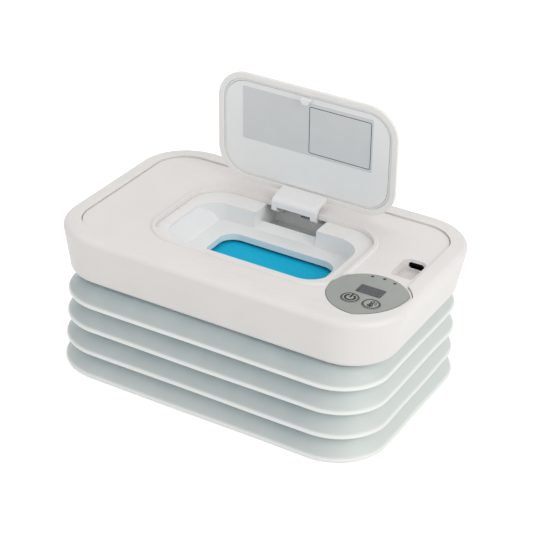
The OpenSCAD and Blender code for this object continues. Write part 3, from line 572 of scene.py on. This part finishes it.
# A fold's slanting face and the tuck under its lip: shares of the notch's depth and of the
# fold's height
FACE_SHARES = ((0.72, 0.76), (0.4, 0.4))
TUCK_SHARE = 0.72
TUCK_RISE = 0.35 * MM
# The inside wall: its gap to a lip, its middle as shares of the notch and the pitch, and its
# drop under a valley
INNER_GAP = 0.5 * MM
INNER_SHARES = (0.34, 0.36)
INNER_DROP = 0.6 * MM
# The underside of a fold is painted this much darker, as painted shade, from this share of the lip's
# radius down
UNDER_SHADE = 0.6
UNDER_FROM = 0.35
# The folds sway more the further out they are, in waves along the bag and up its height
SWAY_IN, SWAY_OVER = 6 * MM, 10 * MM
SWAYS = ((61, 190), (23, -310))


def bellows_outline(bag_lo, bag_hi):
    """The bellows' closed profile: each fold slants out from its valley to a rolled lip and
    is tucked in under it."""
    z_rim = bag_hi.z
    outside, inside = [], []
    for k in range(FOLDS):
        x = LIP_FIRST + LIP_FLARE * k
        z = PITCH * (FOLDS - 1 - k) + LIP_R + LIP_RISE
        valley = (x - NOTCH, min(z + PITCH - LIP_R - VALLEY_DROP, z_rim - RIM_GAP))
        drop = valley[1] - z
        slant = [(x - NOTCH * across, z + drop * up) for across, up in FACE_SHARES]
        face = curve_through([valley, *slant, (x - LIP_R * 0.9, z + LIP_R * 1.5)], 5)
        lip = circle_points(x - LIP_R, z, LIP_R, 40, -90, 7)
        tuck = (x - NOTCH * TUCK_SHARE, z - LIP_R + TUCK_RISE)
        outside += face + lip + ([tuck] if k < FOLDS - 1 else [])
        inside.append([(x - BAG_WALL - LIP_R - INNER_GAP, z + INNER_GAP),
                       (x - NOTCH * INNER_SHARES[0] - BAG_WALL, z + PITCH * INNER_SHARES[1]),
                       (valley[0] - BAG_WALL, valley[1] - INNER_DROP)])
    profile = [(RIM_IN + BAG_WALL, z_rim)] + outside
    profile += [(FLOOR_OUT, outside[-1][1]), (FLOOR_OUT, bag_lo.z + LIFT)]
    for part in reversed(inside):
        profile += part
    profile.append((RIM_IN, z_rim))
    return profile


def mark_outwards(piece, profile, count):
    """Notes for each vertex how far out on its fold it lies, from 0 in the notch to 1 on the
    lip, to set the painted shade and highlight. A fold's underside stays dark, as painted shade."""
    shares = []
    for r, z in profile:
        k = min(FOLDS - 1, max(0, int(FOLDS - (z - LIP_RISE) / PITCH)))
        lip = LIP_FIRST + LIP_FLARE * k
        share = min(1.0, max(0.0, 1 - (lip - r) / NOTCH))
        under = z < PITCH * (FOLDS - 1 - k) + LIP_R * UNDER_FROM + LIP_RISE
        # A fold's underside gets a lower share: painted shade
        shares.append(share * UNDER_SHADE if under and k < FOLDS - 1 else share)
    mark = piece.data.attributes.new(FOLD_PAINTED_LIGHT, "FLOAT", "POINT")
    mark.data.foreach_set("value", shares * count)


def make_bellows(material):
    """The bellows as one closed wall, carried round the bag, with a light sway in its folds."""
    bag_lo, bag_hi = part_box("bellows")
    profile = bellows_outline(bag_lo, bag_hi)
    places = stations(CORNER_X, CORNER_Y, 16, 4 * MM)
    verts, faces = swept(profile, places)
    m = len(profile)
    soft = []
    for i, v in enumerate(verts):
        r, z = profile[i % m]
        base, d = places[i // m]
        out = max(0.0, r - FLOOR_OUT + SWAY_IN) / SWAY_OVER
        along = base.x + 1.7 * base.y
        sway = (sum(math.sin(along * a + z * b) for a, b in SWAYS) - len(SWAYS)) / len(SWAYS)
        soft.append((v[0] + d.x * sway * WAVE * out, v[1] + d.y * sway * WAVE * out, v[2]))
    piece = new_piece("bellows_skin", soft, faces, material)
    mark_outwards(piece, profile, len(places))
    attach(piece, "base")
    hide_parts("bellows")
    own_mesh(piece)


# ---- Pack of wipes ------------------------------------------------------------

PACK_STEPS = 12
SIDE_PARTS = (14, 8)
PACK_CORNER = 16 * MM
FOOT_INSET = 9 * MM
FOOT_ROUND = 5 * MM
SHOULDER_ROUND = 7 * MM
# The block that stands up under the heating plate: its gap to the plate's edge, its corner,
# and how far it flares at shares of its height, in millimetres
BLOCK_GAP = 2 * MM
BLOCK_CORNER = 10 * MM
BLOCK_FLARE = ((0.0, 3.5), (0.25, 1.2), (0.6, 0.2), (0.85, -0.6), (0.95, -2.2))
# The rings that close its top, as shares of its size, and how much lower their edge lies
CROWN_SHARES = (0.88, 0.74, 0.6, 0.45, 0.3, 0.15, 0.02)
CROWN_FALL = 0.03
# Ripples in its top: how many a metre for each axis, and their depth
RIPPLES = (38, 95, 40)
RIPPLE_DEPTH = 0.45 * MM


def ring(cx, cy, half_x, half_y, r, z):
    """One level of the pack: a rounded rectangle as a list of points, the same count for
    every size."""
    pts = []
    for q in range(4):
        corner = math.pi / 2 * q + math.pi / 4
        ox = cx + math.copysign(half_x - r, math.cos(corner))
        oy = cy + math.copysign(half_y - r, math.sin(corner))
        for i in range(PACK_STEPS + 1):
            a = math.pi / 2 * (q + i / PACK_STEPS)
            pts.append(Vector((ox + r * math.cos(a), oy + r * math.sin(a), z)))
        nxt = math.pi / 2 * (q + 1) + math.pi / 4
        end = Vector((cx + math.copysign(half_x - r, math.cos(nxt)),
                      cy + math.copysign(half_y - r, math.sin(nxt)), z))
        a = math.pi / 2 * (q + 1)
        end = end + Vector((r * math.cos(a), r * math.sin(a), 0))
        parts = SIDE_PARTS[q % 2]
        start = pts[-1]
        for i in range(1, parts):
            pts.append(start.lerp(end, i / parts))
    return pts


def make_pack(material):
    """The pack of wipes: a rounded slab up to the bag's rim, with a block on it that stands
    up under the heating plate."""
    lo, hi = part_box("wipe_pack")
    plate_lo, plate_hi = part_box("heating_plate")
    z_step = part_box("bag_rim")[0].z
    half_x, half_y = (hi.x - lo.x) / 2, (hi.y - lo.y) / 2
    px, py = (plate_lo.x + plate_hi.x) / 2, (plate_lo.y + plate_hi.y) / 2
    wx = (plate_hi.x - plate_lo.x) / 2 - BLOCK_GAP
    wy = (plate_hi.y - plate_lo.y) / 2 - BLOCK_GAP
    levels = [(0, 0, half_x - FOOT_INSET, half_y - FOOT_INSET, FOOT_INSET, lo.z + LIFT)]
    for a in (-60, -30, 0):
        s, c = math.sin(math.radians(a)), math.cos(math.radians(a))
        inset = FOOT_ROUND * (1 - c)
        levels.append((0, 0, half_x - inset, half_y - inset, PACK_CORNER - inset,
                       lo.z + FOOT_ROUND * (1 + s)))
    upright = z_step - lo.z - FOOT_ROUND - SHOULDER_ROUND
    for i in range(1, 6):
        levels.append((0, 0, half_x, half_y, PACK_CORNER, lo.z + FOOT_ROUND + upright * i / 5))
    for a in (30, 60, 88):
        s, c = math.sin(math.radians(a)), math.cos(math.radians(a))
        inset = SHOULDER_ROUND * (1 - c)
        levels.append((0, 0, half_x - inset, half_y - inset, PACK_CORNER - inset * 0.5,
                       z_step - SHOULDER_ROUND * (1 - s)))
    rise = hi.z - z_step
    for t, grow in BLOCK_FLARE:
        g = grow * MM
        levels.append((px, py, wx - 1 * MM + g, wy - 1 * MM + g, BLOCK_CORNER, z_step + rise * t))
    for share in CROWN_SHARES:
        crown = hi.z - rise * CROWN_FALL * share * share
        levels.append((px, py, (wx - 4 * MM) * share, (wy - 4 * MM) * share,
                       max(0.2 * MM, 8 * MM * share), crown))
    rings = [ring(*level) for level in levels]
    n = len(rings[0])
    verts = [p for pts in rings for p in pts]
    faces = [(j * n + i, j * n + (i + 1) % n, (j + 1) * n + (i + 1) % n, (j + 1) * n + i)
             for j in range(len(rings) - 1) for i in range(n)]
    faces.append(tuple(reversed(range(n))))
    faces.append(tuple(range((len(rings) - 1) * n, len(rings) * n)))
    for v in verts:
        if v.z > z_step + rise * 0.8:
            ripple = noise.noise(Vector([c * count for c, count in zip(v, RIPPLES)]))
            v.z -= RIPPLE_DEPTH * (0.5 + 0.5 * ripple)
    piece = new_piece("wipe_stack", verts, faces, material)
    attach(piece, "base")
    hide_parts("wipe_pack")
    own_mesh(piece)


# ---- Flat signs ---------------------------------------------------------------

INK_DEPTH = 0.03 * MM
KEY_RING = (4.55 * MM, 3.85 * MM)
POWER_RING = (3.1 * MM, 1.95 * MM)
# The power sign's ring is open at its top, between these angles in degrees
POWER_FROM, POWER_TO = 116, 424
BAR_END_STEPS = 5
FIGURE_PLACES = (-2.2 * MM, 2.2 * MM)
FIGURE_LEAN = math.tan(math.radians(8))


def band(outer, inner, closed=False):
    """A flat band between two lines with as many points, with INK_DEPTH for its height."""
    n = len(outer)
    verts = [(x, y, z) for z in (0, INK_DEPTH) for line in (outer, inner) for x, y in line]
    faces = []
    for i in range(n if closed else n - 1):
        j = (i + 1) % n
        faces += [(i, j, n + j, n + i), (2 * n + i, 3 * n + i, 3 * n + j, 2 * n + j),
                  (i, 2 * n + i, 2 * n + j, j), (n + i, n + j, 3 * n + j, 3 * n + i)]
    if not closed:
        faces += [(0, n, 3 * n, 2 * n), (n - 1, 3 * n - 1, 4 * n - 1, 2 * n - 1)]
    return verts, faces


def ring_band(x, y, outer, inner, steps=72):
    return band(circle_points(x, y, outer, steps=steps)[:-1],
                circle_points(x, y, inner, steps=steps)[:-1], closed=True)


def bar(x0, y0, x1, y1, width):
    """A straight bar with rounded ends."""
    a = math.atan2(y1 - y0, x1 - x0)
    length = math.hypot(x1 - x0, y1 - y0)
    left, right = [], []
    for end, centre in ((-1, 0.0), (1, length)):
        for i in range(BAR_END_STEPS + 1):
            share = i / BAR_END_STEPS
            turn = math.pi / 2 * (share if end < 0 else 1 - share)
            along = centre + end * width / 2 * math.cos(turn)
            out = max(0.02 * width, width / 2 * math.sin(turn))
            for side, line in ((1, left), (-1, right)):
                line.append((x0 + along * math.cos(a) - side * out * math.sin(a),
                             y0 + along * math.sin(a) + side * out * math.cos(a)))
    return band(left, right)


def sign(name, parts, place, material, body):
    """Puts flat parts into one thin piece on a body. A place turns a point into the frame's."""
    verts, faces = [], []
    for part_verts, part_faces in parts:
        first = len(verts)
        verts += [place(*v) for v in part_verts]
        faces += [tuple(first + i for i in face) for face in part_faces]
    piece = new_piece(name, verts, faces, material, smooth=False)
    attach(piece, body)


def key_signs(material):
    """A ring round each key's edge, the sign for power on the left key and a thermometer on
    the right one."""
    power_ring = band(*[circle_points(0, 0, r, POWER_FROM, POWER_TO) for r in POWER_RING])
    signs = {"power": [power_ring, bar(0, 0.2 * MM, 0, 3.3 * MM, 1.1 * MM)],
             "heat": thermometer()}
    for body, node, sheet in (("power_button", "power_key", "power"),
                              ("heat_button", "heat_key", "heat")):
        lo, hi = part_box(node)
        x, y = (lo.x + hi.x) / 2, (lo.y + hi.y) / 2
        parts = [ring_band(0, 0, *KEY_RING)] + signs[sheet]
        sign(sheet + "_sign", parts, lambda a, b, c: (x + a, y + b, hi.z + c), material, body)


def thermometer():
    """An upright thermometer: its outline, the column in it and three marks beside it."""
    stem, bulb, top, low = 0.95 * MM, 1.5 * MM, 2.4 * MM, -1.7 * MM
    line = 0.5 * MM

    def outline(grow):
        r, w = bulb + grow, stem + grow
        a = math.degrees(math.asin(w / r))
        return (circle_points(0, top, w, 0, 180, 12)
                + circle_points(0, low, r, 90 + a, 450 - a, 30))

    column = bar(0, low, 0, top - 1.2 * MM, 0.6 * MM)
    blob = band(circle_points(0, low, 0.8 * MM, 90, 270, 12),
                circle_points(0, low, 0.8 * MM, 90, -90, 12))
    marks = [bar(1.6 * MM, y * MM, 2.5 * MM, y * MM, 0.5 * MM) for y in (0.1, 1.2, 2.3)]
    return [band(outline(0), outline(-line), closed=True), column, blob] + marks


def display_signs(material):
    """Two unlit seven-part figures in the display window."""
    lo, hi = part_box("display_window")
    x, y = (lo.x + hi.x) / 2, (lo.y + hi.y) / 2
    w, h, t = 1.35 * MM, 2.5 * MM, 0.6 * MM
    gap = 0.22 * MM
    parts = []
    for cx in FIGURE_PLACES:
        for row in (-h, 0, h):
            parts.append(bar(cx - w + t / 2 + gap, row, cx + w - t / 2 - gap, row, t))
        for side in (-w, w):
            for row in (-h / 2, h / 2):
                parts.append(bar(cx + side, row - h / 2 + t / 2 + gap, cx + side,
                                 row + h / 2 - t / 2 - gap, t))
    sign("display_signs", parts, lambda a, b, c: (x + a + b * FIGURE_LEAN, y + b, hi.z + c),
         material, "head")


# ---- Lid label ----------------------------------------------------------------

# The height of the lid's lining with the lid shut. The label and the box on it are given by
# two corners each
LINING_HEIGHT = 80.85 * MM
LABEL = (-37.1 * MM, -30.3 * MM, 42.0 * MM, 1.6 * MM)
LABEL_CORNER = 0.8 * MM
LABEL_BOX = (3.8 * MM, -28.3 * MM, 41.0 * MM, 0.0)
BOX_CORNER = 1.2 * MM
BOX_LINE = 0.42 * MM
CORNER_STEPS = 6


def round_outline(x0, y0, x1, y1, r):
    """A rounded rectangle as a list of points, between two corners."""
    pts = []
    for q in range(4):
        corner = math.pi / 2 * q + math.pi / 4
        ox = x1 - r if math.cos(corner) > 0 else x0 + r
        oy = y1 - r if math.sin(corner) > 0 else y0 + r
        for i in range(CORNER_STEPS + 1):
            a = math.pi / 2 * (q + i / CORNER_STEPS)
            pts.append((ox + r * math.cos(a), oy + r * math.sin(a)))
    return pts


def lid_place(height):
    """A place on the open lid for points given with the lid shut. Their own height is
    measured down from the given one."""
    hinge = joint("lid_hinge")
    pin = Vector(hinge["pos_m"])
    turn = Matrix.Rotation(-math.radians(hinge["range_deg"][1]), 3, "X")
    return lambda a, b, c: tuple(turn @ (Vector((a, b, height - c)) - pin) + pin)


def make_label(paper, ink_material):
    """The label stuck to the lining: a bare sheet, with a thin line round its right half."""
    x0, y0, x1, y1 = LABEL
    rim = round_outline(x0, y0, x1, y1, LABEL_CORNER)
    middle = ((x0 + x1) / 2, (y0 + y1) / 2)
    inner = [(middle[0] + (x - middle[0]) * 0.02, middle[1] + (y - middle[1]) * 0.02)
             for x, y in rim]
    n = len(inner)
    sheet_verts, sheet_faces = band(rim, inner, closed=True)
    sheet_faces += [tuple(range(n, 2 * n)), tuple(range(4 * n - 1, 3 * n - 1, -1))]
    sign("label_sheet", [(sheet_verts, sheet_faces)], lid_place(LINING_HEIGHT), paper, "lid")
    bx0, by0, bx1, by1 = LABEL_BOX
    line = BOX_LINE
    frame_line = band(round_outline(bx0, by0, bx1, by1, BOX_CORNER),
                      round_outline(bx0 + line, by0 + line, bx1 - line, by1 - line,
                                    BOX_CORNER - line), closed=True)
    sign("label_line", [frame_line], lid_place(LINING_HEIGHT - INK_DEPTH), ink_material, "lid")


# ---- Stage --------------------------------------------------------------------

WORLD_LIGHT = 0.71
FLOOR_GLOW = 0.5
FLOOR_GREY = 0.86
FLOOR_REACH = 3.0
FLOOR_DROP = 0.02 * MM


def worked(tree, operation, a, b):
    """A maths node on an output and a second output or a number."""
    node = tree.nodes.new("ShaderNodeMath")
    node.operation = operation
    tree.links.new(a, node.inputs[0])
    if isinstance(b, bpy.types.NodeSocket):
        tree.links.new(b, node.inputs[1])
    else:
        node.inputs[1].default_value = b
    return node.outputs[0]


def shown_white(tree, strength):
    """A glow of a strength that camera, glossy and transmission rays alone meet."""
    rays = tree.nodes.new("ShaderNodeLightPath").outputs
    share = worked(tree, "MAXIMUM", rays["Is Camera Ray"], rays["Is Glossy Ray"])
    share = worked(tree, "MAXIMUM", share, rays["Is Transmission Ray"])
    return worked(tree, "MULTIPLY", share, strength)


def make_stage():
    """White light from all round, and a floor that shows as white as the background."""
    world = bpy.data.worlds.new("studio")
    bpy.context.scene.world = world
    world.use_nodes = True
    tree = world.node_tree
    background = tree.nodes["Background"]
    background.inputs["Color"].default_value = (1, 1, 1, 1)
    total = worked(tree, "ADD", shown_white(tree, 1 - WORLD_LIGHT), WORLD_LIGHT)
    tree.links.new(total, background.inputs["Strength"])

    floor_mesh = bpy.data.meshes.new("floor")
    reach = FLOOR_REACH
    floor_mesh.from_pydata([(-reach, -reach, 0), (reach, -reach, 0), (reach, reach, 0),
                            (-reach, reach, 0)], [], [(0, 1, 2, 3)])
    floor = bpy.data.objects.new("floor", floor_mesh)
    floor.location.z = -FLOOR_DROP
    bpy.context.scene.collection.objects.link(floor)
    paper = bpy.data.materials.new("floor_paper")
    paper.use_nodes = True
    shader = paper.node_tree.nodes["Principled BSDF"]
    shader.inputs["Base Color"].default_value = (FLOOR_GREY, FLOOR_GREY, FLOOR_GREY, 1)
    shader.inputs["Roughness"].default_value = 0.9
    shader.inputs["Specular IOR Level"].default_value = 0.0
    shader.inputs["Emission Color"].default_value = (1, 1, 1, 1)
    glow = shown_white(paper.node_tree, FLOOR_GLOW)
    paper.node_tree.links.new(glow, shader.inputs["Emission Strength"])
    floor_mesh.materials.append(paper)


def lamp(name, place, target, size, power):
    data = bpy.data.lights.new(name, "AREA")
    data.shape = "RECTANGLE"
    data.size, data.size_y = size
    data.energy = power
    o = bpy.data.objects.new(name, data)
    o.location = place
    o.rotation_mode = "QUATERNION"
    o.rotation_quaternion = (Vector(target) - Vector(place)).to_track_quat("-Z", "Y")
    bpy.context.scene.collection.objects.link(o)


def make_lamps():
    middle = (0, 0, 0.06)
    lamp("key", (1.15, -0.3, 0.7), middle, (0.8, 0.8), 6)
    lamp("front", (-0.4, -1.3, 0.8), middle, (0.9, 0.7), 2)
    lamp("top", (-0.2, 0.3, 1.4), middle, (1.0, 0.8), 2)


# ---- Making -------------------------------------------------------------------

make_camera()
make_stage()
make_lamps()

paints = {
    "outer_shell": white_shell(), "top_panel": white_panel(), "lid_shell": white_lid_painted_light(),
    "lid_liner": lid_lining(), "well_frame": well_plastic_painted_shade(), "hinge_arm": arm_plastic(),
    "bottom_cover": cover_plastic(), "control_disc": disc_plastic(),
    "display_window": smoked_lens(), "wipe_pack": wipe_film(),
    "bag_rim": moulded("rim_plastic", (214, 219, 220), rough=0.45),
    "bag_floor": silicone("bag_base", (196, 202, 202), (204, 209, 209), 0.5),
    "bellows": bellows_rubber(),
    "lid_seal": silicone("seal_rubber", (222, 223, 222), (228, 229, 228), 0.55, reach=0.5 * MM),
    "heating_plate": metal("rolled_aluminium", (196, 200, 204), 0.34, along=(1, 0, 0)),
    "heating_film": heater_foil(), "insulating_pad": foam(),
    "temperature_sensor": dark_plastic("sensor_epoxy", (44, 46, 50), 0.3),
    "thermal_fuse": moulded("fuse_ceramic", (226, 220, 200), rough=0.5, cloud=3 * MM),
    "indicator_leds": dark_plastic("led_lens", (30, 31, 31), 0.25),
    "display_module": moulded("display_frame", (222, 222, 222), rough=0.4, cloud=4 * MM),
    "usb_socket": metal("black_nickel", (34, 35, 39), 0.34, along=(0, 1, 0)),
    "torsion_spring": metal("spring_wire", (206, 210, 214), 0.26, along=(1, 0, 0)),
    "hinge_pin": metal("ground_pin", (186, 190, 195), 0.24, along=(1, 0, 0)),
    "heater_leads": insulation("red_insulation", (172, 52, 44)),
    "usb_leads": insulation("black_insulation", (42, 42, 44)),
}
paints["control_board"] = paints["usb_board"] = circuit_board()
paints["key_switches"] = dark_plastic("switch_body", (46, 46, 48), 0.45)
paints["power_key"] = paints["heat_key"] = key_plastic()
paints["case_screws"] = paints["board_screws"] = metal("zinc_plate", (190, 192, 196), 0.3)
for name, material in paints.items():
    paint(name, material)

# The width of each node's softened edges, in millimetres
edge_widths = {
    "outer_shell": 0.45, "top_panel": 0.3, "lid_shell": 0.35, "lid_liner": 0.3,
    "well_frame": 0.45, "hinge_arm": 0.35, "bottom_cover": 0.4, "control_disc": 0.2,
    "display_window": 0.15, "bag_rim": 0.3, "bag_floor": 0.6, "lid_seal": 0.25,
    "heating_plate": 0.15, "insulating_pad": 0.2, "temperature_sensor": 0.1,
    "display_module": 0.2, "usb_socket": 0.06, "power_key": 0.12, "heat_key": 0.12,
    "key_switches": 0.2, "control_board": 0.1, "usb_board": 0.1, "case_screws": 0.12,
    "board_screws": 0.08, "hinge_pin": 0.15, "thermal_fuse": 0.1, "indicator_leds": 0.1,
}
for name, width in edge_widths.items():
    soften(name, width * MM)

make_bellows(paints["bellows"])
make_pack(paints["wipe_pack"])
key_signs(ink("key_ink", (9, 9, 9)))
display_signs(ink("unlit_segments", (74, 72, 80)))
make_label(label_paper(), ink("label_ink", (62, 64, 70)))

bpy.context.scene.view_settings.view_transform = "Standard"
